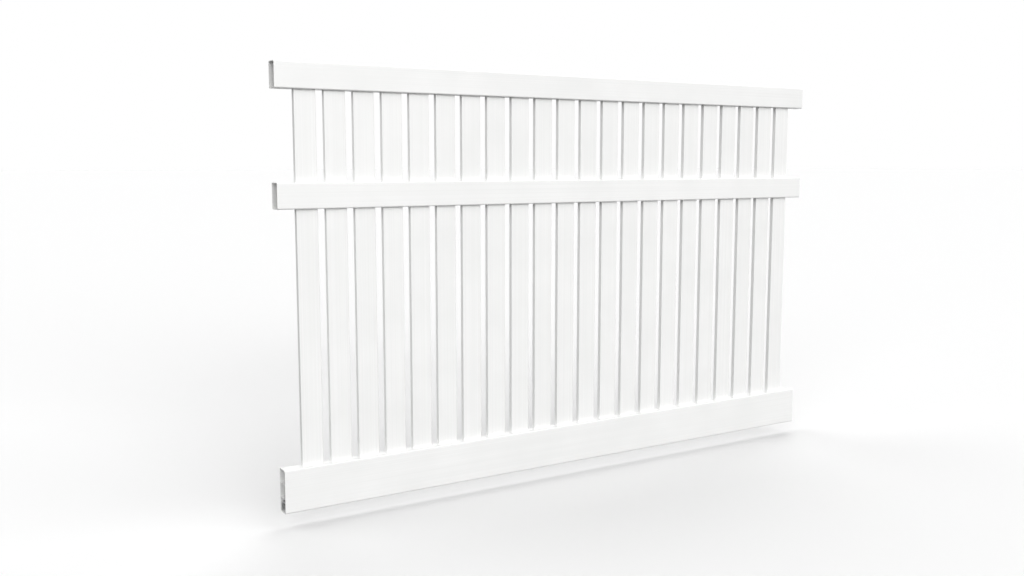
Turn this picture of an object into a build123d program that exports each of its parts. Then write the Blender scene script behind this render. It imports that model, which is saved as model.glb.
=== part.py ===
from build123d import *
import math
import os

# Semi-privacy fence panel in millimetres.
# X runs along the rails from the left end, Y from front to back, Z up.
# The origin lies on the left end of the bottom rail, in the panel's middle plane, at its underside.

# Panel
rail_length = 2438.4
panel_height = 1524.0
mid_rail_base = 1038.6
picket_end_margin = 70.2

# Rail extrusions
rail_depth = 50.8
rail_height = 88.9
bottom_rail_height = 152.4
rail_wall = 2.3
rail_corner_radius = 4.8
rib_count = 2
rib_thickness = 1.8
rib_root_radius = 1.2

# Picket extrusion
picket_width = 76.2
picket_depth = 19.05
picket_wall = 1.5
picket_corner_radius = 2.4
picket_gap = 29.6
picket_headroom = 14.0

# Routed slots in the rails
slot_clearance = 0.4
cutter_overrun = 1.0

# Steel channel in the lowest cell of the bottom rail
channel_thickness = 1.6
channel_bend_radius = 3.2
channel_side_clearance = 0.4
channel_headroom = 12.6
channel_setback = 1.0

# Drain holes in the underside of the bottom rail
drain_diameter = 6.4
drain_count = 4
drain_end_margin = 300.0

# Sizes that follow from the driving ones
top_rail_base = panel_height - rail_height
inner_corner_radius = max(rail_corner_radius - rail_wall, 0.5)
slot_corner_cut = (2 - math.sqrt(2)) * (picket_corner_radius + slot_clearance)
picket_field = rail_length - 2 * picket_end_margin
picket_count = round((picket_field + picket_gap) / (picket_width + picket_gap))
picket_pitch = (picket_field - picket_width) / (picket_count - 1)
rib_pitch = bottom_rail_height / (rib_count + 1)
upper_rib_top = rib_pitch * rib_count + rib_thickness / 2
lower_rib_underside = rib_pitch - rib_thickness / 2
picket_base = upper_rib_top
picket_top = panel_height - rail_wall - picket_headroom


def tube_section(base, height):
    """The hollow section of a rail, drawn in the current sketch."""
    with Locations((0, base + height / 2)):
        RectangleRounded(rail_depth, height, rail_corner_radius)
        RectangleRounded(
            rail_depth - 2 * rail_wall,
            height - 2 * rail_wall,
            inner_corner_radius,
            mode=Mode.SUBTRACT,
        )


os.makedirs("parts", exist_ok=True)

# The routed slots, one for each picket, their corners cut off along the picket's rounded ones
with BuildSketch() as picket_slots:
    with Locations((rail_length / 2, 0)):
        with GridLocations(picket_pitch, 0, picket_count, 1):
            Rectangle(picket_width + 2 * slot_clearance, picket_depth + 2 * slot_clearance)
    chamfer(picket_slots.vertices(), slot_corner_cut)

# Top rail, slotted in its underside
with BuildPart() as top_rail:
    with BuildSketch(Plane.YZ):
        tube_section(top_rail_base, rail_height)
    extrude(amount=rail_length)
    with BuildSketch(Plane.XY.offset(top_rail_base - cutter_overrun)):
        add(picket_slots.sketch)
    extrude(amount=rail_wall + 2 * cutter_overrun, mode=Mode.SUBTRACT)
top_rail.part.label = "top_rail"
export_step(top_rail.part, "parts/top_rail.step")

# Mid rail, slotted right through so that the pickets pass it
with BuildPart() as mid_rail:
    with BuildSketch(Plane.YZ):
        tube_section(mid_rail_base, rail_height)
    extrude(amount=rail_length)
    with BuildSketch(Plane.XY.offset(mid_rail_base - cutter_overrun)):
        add(picket_slots.sketch)
    extrude(amount=rail_height + 2 * cutter_overrun, mode=Mode.SUBTRACT)
mid_rail.part.label = "mid_rail"
export_step(mid_rail.part, "parts/mid_rail.step")

# Bottom rail, with ribs across its hollow, slots in its top and drain holes in its underside
with BuildPart() as bottom_rail:
    with BuildSketch(Plane.YZ) as bottom_section:
        tube_section(0, bottom_rail_height)
        with Locations((0, bottom_rail_height / 2)):
            with GridLocations(0, rib_pitch, 1, rib_count):
                Rectangle(rail_depth - rail_wall, rib_thickness)
        rib_roots = bottom_section.vertices(Select.LAST)
        fillet(rib_roots, rib_root_radius)
    extrude(amount=rail_length)
    with BuildSketch(Plane.XY.offset(bottom_rail_height - rail_wall - cutter_overrun)):
        add(picket_slots.sketch)
    extrude(amount=rail_wall + 2 * cutter_overrun, mode=Mode.SUBTRACT)
    with BuildSketch(Plane.XY.offset(-cutter_overrun)):
        with Locations((rail_length / 2, 0)):
            drain_pitch = (rail_length - 2 * drain_end_margin) / (drain_count - 1)
            with GridLocations(drain_pitch, 0, drain_count, 1):
                Circle(drain_diameter / 2)
    extrude(amount=rail_wall + 2 * cutter_overrun, mode=Mode.SUBTRACT)
bottom_rail.part.label = "bottom_rail"
export_step(bottom_rail.part, "parts/bottom_rail.step")

# Bent steel channel that stiffens the bottom rail, open side down, its feet between the rail's corners
channel_width = rail_depth - 2 * (rail_wall + inner_corner_radius + channel_side_clearance)
channel_height = lower_rib_underside - rail_wall - channel_headroom
with BuildPart() as stiffener_channel:
    with BuildSketch(Plane.YZ.offset(channel_setback)):
        with BuildLine(Location((0, rail_wall, 0))):
            outer_face = FilletPolyline(
                (-channel_width / 2, 0),
                (-channel_width / 2, channel_height),
                (channel_width / 2, channel_height),
                (channel_width / 2, 0),
                radius=channel_bend_radius,
            )
            offset(outer_face, amount=channel_thickness, side=Side.RIGHT)
        make_face()
    extrude(amount=rail_length - 2 * channel_setback)
stiffener_channel.part.label = "stiffener_channel"
export_step(stiffener_channel.part, "parts/stiffener_channel.step")

# Pickets, hollow tubes that stand on the upper rib and reach into the top rail
with BuildPart() as picket:
    with BuildSketch(Plane.XY.offset(picket_base)):
        with Locations((picket_end_margin + picket_width / 2, 0)):
            RectangleRounded(picket_width, picket_depth, picket_corner_radius)
            Rectangle(picket_width - 2 * picket_wall, picket_depth - 2 * picket_wall, mode=Mode.SUBTRACT)
    extrude(amount=picket_top - picket_base)

for number in range(picket_count):
    placed = picket.part.moved(Location((number * picket_pitch, 0, 0)))
    placed.label = f"picket_{number + 1:02d}"
    export_step(placed, f"parts/{placed.label}.step")
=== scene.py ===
import math

import bpy
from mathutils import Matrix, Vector

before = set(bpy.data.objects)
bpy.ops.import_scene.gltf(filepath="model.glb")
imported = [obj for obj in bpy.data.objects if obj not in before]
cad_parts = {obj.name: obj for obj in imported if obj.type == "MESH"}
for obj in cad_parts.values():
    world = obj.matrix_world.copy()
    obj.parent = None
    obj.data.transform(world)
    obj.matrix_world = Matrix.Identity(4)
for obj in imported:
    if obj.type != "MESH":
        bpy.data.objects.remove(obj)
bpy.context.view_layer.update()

# Driving values, in metres and degrees

# Camera, fitted to the straight edges of the panel
CAMERA_PLACE = (-1.1272, -3.3161, 1.1902)
CAMERA_YAW = 31.736
CAMERA_PITCH = 6.903
CAMERA_LENS_MM = 36.13
SENSOR_WIDTH_MM = 36.0

# Floor, two inches below the panel as when it hangs between posts
FLOOR_DROP = 0.0508
FLOOR_SIZE = 400.0
FLOOR_SHOWN = 0.98
FLOOR_GLOW = 0.08

# Colour of the world and of the floor's glow
WHITE = (1.0, 1.0, 1.0)

# Broad lamps, their strength as radiance on white where 1 is white
LAMP_SPREAD = 40.0

# Azimuth 0 is in front of the panel and 90 at its right end
LAMPS = {
    "front": {"strength": 0.645, "azimuth": 0.0, "elevation": 15.0},
    "front_left_low": {"strength": 0.300, "azimuth": -45.0, "elevation": 15.0},
    "front_left_high": {"strength": 0.125, "azimuth": -45.0, "elevation": 45.0},
    "front_right_high": {"strength": 0.250, "azimuth": 45.0, "elevation": 45.0},
    "back_low": {"strength": 0.145, "azimuth": 180.0, "elevation": 30.0},
    "back_left_high": {"strength": 0.270, "azimuth": 225.0, "elevation": 45.0},
    "back_right_high": {"strength": 0.340, "azimuth": 135.0, "elevation": 45.0},
}

# White extruded vinyl, with die lines along the extrusion and matt cut faces
VINYL_COLOUR = (0.915, 0.915, 0.908)
VINYL_SHADE = (0.865, 0.867, 0.858)
VINYL_ROUGHNESS = (0.30, 0.48)
VINYL_IOR = 1.53
DIE_LINES_PER_METRE = 240.0
DIE_LINE_STRETCH = 0.5
FINE_LINES_PER_METRE = 900.0
FINE_LINE_STRETCH = 2.0
MOTTLE_PER_METRE = 5.0
MOTTLE_DETAIL = 3.0
PEEL_PER_METRE = 700.0
TINT_RANGE = (0.12, 0.42)
GLOSS_WEIGHTS = {"fine_lines": 0.5, "mottle": 0.5}
GLOSS_RANGE = (0.35, 0.65)
LINE_WEIGHTS = {"die_lines": 1.0, "fine_lines": 0.35, "peel": 0.25}
LINE_DEPTH = 0.00005

# Sawn rail ends and slot edges, with the marks of the blade
CUT_COLOUR = (0.868, 0.868, 0.858)
CUT_ROUGHNESS = 0.66
CUT_DEPTH = 0.00012
CUT_FACE_RANGE = (0.9, 0.98)
SAW_MARKS_PER_METRE = (1.0, 32.5, 520.0)
SAW_MARK_DETAIL = 4.0

# Zinc-coated steel, with crystals of a few millimetres, dull patches and brighter sheared edges
STEEL_DARK = (0.47, 0.475, 0.48)
STEEL_LIGHT = (0.66, 0.66, 0.655)
STEEL_BLOOM = (0.60, 0.60, 0.60)
STEEL_ROUGHNESS = (0.30, 0.52)
STEEL_DEPTH = 0.00003
SPANGLES_PER_METRE = 150.0
SPANGLE_WANDER = 0.006
BLOOM_PER_METRE = 9.0
BLOOM_DETAIL = 4.0
BLOOM_RANGE = (0.5, 0.7)
BLOOM_STRENGTH = 0.7
ROLLING_LINES_PER_METRE = 500.0
ROLLING_LINE_STRETCH = 2.0
SHINE_WEIGHTS = {"crystal": 0.6, "bloom": 0.4}
SHINE_RANGE = (0.15, 0.75)
RELIEF_WEIGHTS = {"crystal": 1.0, "rolling_lines": 0.4}

# Axis numbers
X_AXIS = 0
Z_AXIS = 2

# Socket numbers of the Mix node, where names repeat
MIX_SOCKETS = {
    "FLOAT": {"factor": 0, "first": 2, "second": 3, "result": 0},
    "RGBA": {"factor": 0, "first": 6, "second": 7, "result": 2},
}


def new_material(name):
    """A material with an empty node tree, and that tree."""
    material = bpy.data.materials.new(name)
    material.use_nodes = True
    tree = material.node_tree
    tree.nodes.clear()
    return material, tree


def feed(tree, socket, value):
    """Link an output to a socket, or set the socket to a plain value."""
    if isinstance(value, bpy.types.NodeSocket):
        tree.links.new(value, socket)
    else:
        socket.default_value = value


def add_node(tree, kind, settings=None, **inputs):
    """A node of one kind, with its own settings and with its named sockets fed."""
    node = tree.nodes.new(kind)
    for key, value in (settings or {}).items():
        setattr(node, key, value)
    for key, value in inputs.items():
        feed(tree, node.inputs[key.replace("_", " ")], value)
    return node


def colour(rgb):
    """A colour with its alpha, from red, green and blue."""
    return (*rgb, 1.0)


def math_node(tree, operation, *values):
    """The result of one operation on numbers or outputs."""
    node = add_node(tree, "ShaderNodeMath", {"operation": operation})
    for socket, value in zip(node.inputs, values):
        feed(tree, socket, value)
    return node.outputs[0]


def weighted_sum(tree, weights, **outputs):
    """The sum of the named outputs, each times its weight."""
    total = None
    for name, weight in weights.items():
        term = math_node(tree, "MULTIPLY", outputs[name], weight)
        total = term if total is None else math_node(tree, "ADD", total, term)
    return total


def noise(tree, place, scale, detail=2.0):
    """Noise from 0 to 1, with so many features in a metre along each axis."""
    mapping = add_node(tree, "ShaderNodeMapping", Vector=place, Scale=scale)
    texture = add_node(
        tree, "ShaderNodeTexNoise", Vector=mapping.outputs[0], Scale=1.0, Detail=detail
    )
    return texture.outputs[0]


def carry(tree, value, from_range, to_range):
    """The value carried from one range to another, and held inside it."""
    node = add_node(
        tree, "ShaderNodeMapRange",
        Value=value,
        From_Min=from_range[0], From_Max=from_range[1],
        To_Min=to_range[0], To_Max=to_range[1],
    )
    return node.outputs[0]


def blend(tree, kind, factor, first, second):
    """A mix of two numbers or two colours, each plain or an output."""
    node = add_node(tree, "ShaderNodeMix", {"data_type": kind})
    sockets = MIX_SOCKETS[kind]
    feed(tree, node.inputs[sockets["factor"]], factor)
    feed(tree, node.inputs[sockets["first"]], first)
    feed(tree, node.inputs[sockets["second"]], second)
    return node.outputs[sockets["result"]]


def faces_along_x(tree, coordinates):
    """One on the faces square to X, such as the sawn rail ends and the slot edges, else zero."""
    parts = add_node(tree, "ShaderNodeSeparateXYZ", Vector=coordinates.outputs["Normal"])
    sideways = math_node(tree, "ABSOLUTE", parts.outputs[X_AXIS])
    return carry(tree, sideways, CUT_FACE_RANGE, (0.0, 1.0))


def along(axis, lengthwise, across):
    """A scale vector with one value along an axis and another across it."""
    return tuple(lengthwise if number == axis else across for number in range(3))


def evenly(value):
    """The same value three times, for a scale vector or a grey."""
    return (value, value, value)


def bump(tree, height, depth, **inputs):
    """The normals of a surface with this relief, so many metres deep."""
    return add_node(
        tree, "ShaderNodeBump", Height=height, Strength=1.0, Distance=depth, **inputs
    ).outputs[0]


def vinyl(name, axis, is_cut):
    """White vinyl extruded along an axis, with matt cut faces square to X where it has them."""
    material, tree = new_material(name)
    coordinates = add_node(tree, "ShaderNodeTexCoord")
    place = coordinates.outputs["Object"]
    die_lines = noise(tree, place, along(axis, DIE_LINE_STRETCH, DIE_LINES_PER_METRE))
    fine_lines = noise(tree, place, along(axis, FINE_LINE_STRETCH, FINE_LINES_PER_METRE))
    mottle = noise(tree, place, evenly(MOTTLE_PER_METRE), MOTTLE_DETAIL)
    peel = noise(tree, place, evenly(PEEL_PER_METRE))

    shade = math_node(tree, "MULTIPLY", die_lines, mottle)
    tint = carry(tree, shade, TINT_RANGE, (0.0, 1.0))
    base = blend(tree, "RGBA", tint, colour(VINYL_SHADE), colour(VINYL_COLOUR))
    gloss = weighted_sum(tree, GLOSS_WEIGHTS, fine_lines=fine_lines, mottle=mottle)
    roughness = carry(tree, gloss, GLOSS_RANGE, VINYL_ROUGHNESS)
    lines = weighted_sum(
        tree, LINE_WEIGHTS, die_lines=die_lines, fine_lines=fine_lines, peel=peel
    )
    normal = bump(tree, lines, LINE_DEPTH)

    if is_cut:
        cut = faces_along_x(tree, coordinates)
        marks = noise(tree, place, SAW_MARKS_PER_METRE, SAW_MARK_DETAIL)
        sawn = blend(tree, "RGBA", marks, colour(CUT_COLOUR), colour(VINYL_COLOUR))
        base = blend(tree, "RGBA", cut, base, sawn)
        roughness = blend(tree, "FLOAT", cut, roughness, CUT_ROUGHNESS)
        normal = bump(tree, math_node(tree, "MULTIPLY", marks, cut), CUT_DEPTH, Normal=normal)

    shader = add_node(
        tree, "ShaderNodeBsdfPrincipled",
        Base_Color=base, Roughness=roughness, Normal=normal, IOR=VINYL_IOR,
    )
    add_node(tree, "ShaderNodeOutputMaterial", Surface=shader.outputs[0])
    return material


def steel():
    """Hot-dip galvanised sheet, rolled along X."""
    material, tree = new_material("zinc_coated_steel")
    coordinates = add_node(tree, "ShaderNodeTexCoord")
    place = coordinates.outputs["Object"]
    wander = noise(tree, place, evenly(SPANGLES_PER_METRE))
    shifted = add_node(tree, "ShaderNodeVectorMath", {"operation": "MULTIPLY_ADD"})
    for socket, value in zip(shifted.inputs, (wander, evenly(SPANGLE_WANDER), place)):
        feed(tree, socket, value)
    crystals = add_node(
        tree, "ShaderNodeTexVoronoi", Vector=shifted.outputs[0], Scale=SPANGLES_PER_METRE
    )
    tones = add_node(tree, "ShaderNodeSeparateColor", Color=crystals.outputs["Color"])
    crystal = tones.outputs[0]
    bloom = noise(tree, place, evenly(BLOOM_PER_METRE), BLOOM_DETAIL)
    rolling_lines = noise(
        tree, place, along(X_AXIS, ROLLING_LINE_STRETCH, ROLLING_LINES_PER_METRE)
    )

    zinc = blend(tree, "RGBA", crystal, colour(STEEL_DARK), colour(STEEL_LIGHT))
    dull = carry(tree, bloom, BLOOM_RANGE, (0.0, BLOOM_STRENGTH))
    zinc = blend(tree, "RGBA", dull, zinc, colour(STEEL_BLOOM))
    edge = faces_along_x(tree, coordinates)
    base = blend(tree, "RGBA", edge, zinc, colour(STEEL_LIGHT))
    shine = weighted_sum(tree, SHINE_WEIGHTS, crystal=crystal, bloom=bloom)
    roughness = carry(tree, shine, SHINE_RANGE, STEEL_ROUGHNESS)
    relief = weighted_sum(tree, RELIEF_WEIGHTS, crystal=crystal, rolling_lines=rolling_lines)
    normal = bump(tree, relief, STEEL_DEPTH)

    shader = add_node(
        tree, "ShaderNodeBsdfPrincipled",
        Base_Color=base, Metallic=1.0, Roughness=roughness, Normal=normal,
    )
    add_node(tree, "ShaderNodeOutputMaterial", Surface=shader.outputs[0])
    return material


def shown_to_eye(tree):
    """One for camera, glossy and transmission rays, else zero."""
    path = add_node(tree, "ShaderNodeLightPath")
    seen = math_node(
        tree, "MAXIMUM", path.outputs["Is Camera Ray"], path.outputs["Is Glossy Ray"]
    )
    return math_node(tree, "MAXIMUM", seen, path.outputs["Is Transmission Ray"])


def floor_material():
    """A floor that shows the shadow, and lights the panel from below with an even glow."""
    material, tree = new_material("floor_white")
    glow = add_node(tree, "ShaderNodeEmission", Color=colour(WHITE), Strength=FLOOR_GLOW)
    shown = add_node(tree, "ShaderNodeBsdfDiffuse", Color=colour(evenly(FLOOR_SHOWN)))
    mix = add_node(tree, "ShaderNodeMixShader")
    for socket, value in zip(mix.inputs, (shown_to_eye(tree), glow.outputs[0], shown.outputs[0])):
        feed(tree, socket, value)
    add_node(tree, "ShaderNodeOutputMaterial", Surface=mix.outputs[0])
    return material


def make_floor():
    mesh = bpy.data.meshes.new("floor")
    half = FLOOR_SIZE / 2
    corners = [(-half, -half, 0), (half, -half, 0), (half, half, 0), (-half, half, 0)]
    mesh.from_pydata(corners, [], [(0, 1, 2, 3)])
    mesh.materials.append(floor_material())
    floor = bpy.data.objects.new("floor", mesh)
    floor.location = (0, 0, -FLOOR_DROP)
    bpy.context.scene.collection.objects.link(floor)


def make_world():
    """A world that shows white and leaves the light to the lamps."""
    world = bpy.data.worlds.new("studio")
    bpy.context.scene.world = world
    world.use_nodes = True
    tree = world.node_tree
    tree.nodes.clear()
    shown = add_node(
        tree, "ShaderNodeBackground", Color=colour(WHITE), Strength=shown_to_eye(tree)
    )
    add_node(tree, "ShaderNodeOutputWorld", Surface=shown.outputs[0])


def direction(azimuth, elevation):
    """Unit vector toward a lamp."""
    turn = math.radians(azimuth)
    rise = math.radians(elevation)
    return Vector((math.sin(turn) * math.cos(rise), -math.cos(turn) * math.cos(rise), math.sin(rise)))


def make_lamp(name, strength, azimuth, elevation):
    """A sun lamp whose disc is as wide as a studio lamp's."""
    lamp = bpy.data.lights.new(name, "SUN")
    lamp.energy = math.pi * strength
    lamp.angle = math.radians(LAMP_SPREAD)
    sun = bpy.data.objects.new(name, lamp)
    sun.rotation_euler = direction(azimuth, elevation).to_track_quat("Z", "Y").to_euler()
    bpy.context.scene.collection.objects.link(sun)


def make_camera():
    data = bpy.data.cameras.new("camera")
    data.lens = CAMERA_LENS_MM
    data.sensor_width = SENSOR_WIDTH_MM
    data.clip_end = 2 * FLOOR_SIZE
    camera = bpy.data.objects.new("camera", data)
    camera.location = CAMERA_PLACE
    camera.rotation_euler = (math.radians(90 - CAMERA_PITCH), 0, math.radians(-CAMERA_YAW))
    bpy.context.scene.collection.objects.link(camera)
    bpy.context.scene.camera = camera


make_camera()
make_world()
make_floor()
for lamp_name, lamp_values in LAMPS.items():
    make_lamp(lamp_name, **lamp_values)
bpy.context.scene.view_settings.view_transform = "Standard"

rail_vinyl = vinyl("rail_vinyl", X_AXIS, is_cut=True)
picket_vinyl = vinyl("picket_vinyl", Z_AXIS, is_cut=False)
zinc_coated_steel = steel()
for node_name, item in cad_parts.items():
    for slot in item.material_slots:
        if slot.material.name == "galvanised_steel":
            slot.material = zinc_coated_steel
        else:
            slot.material = picket_vinyl if node_name.startswith("picket") else rail_vinyl
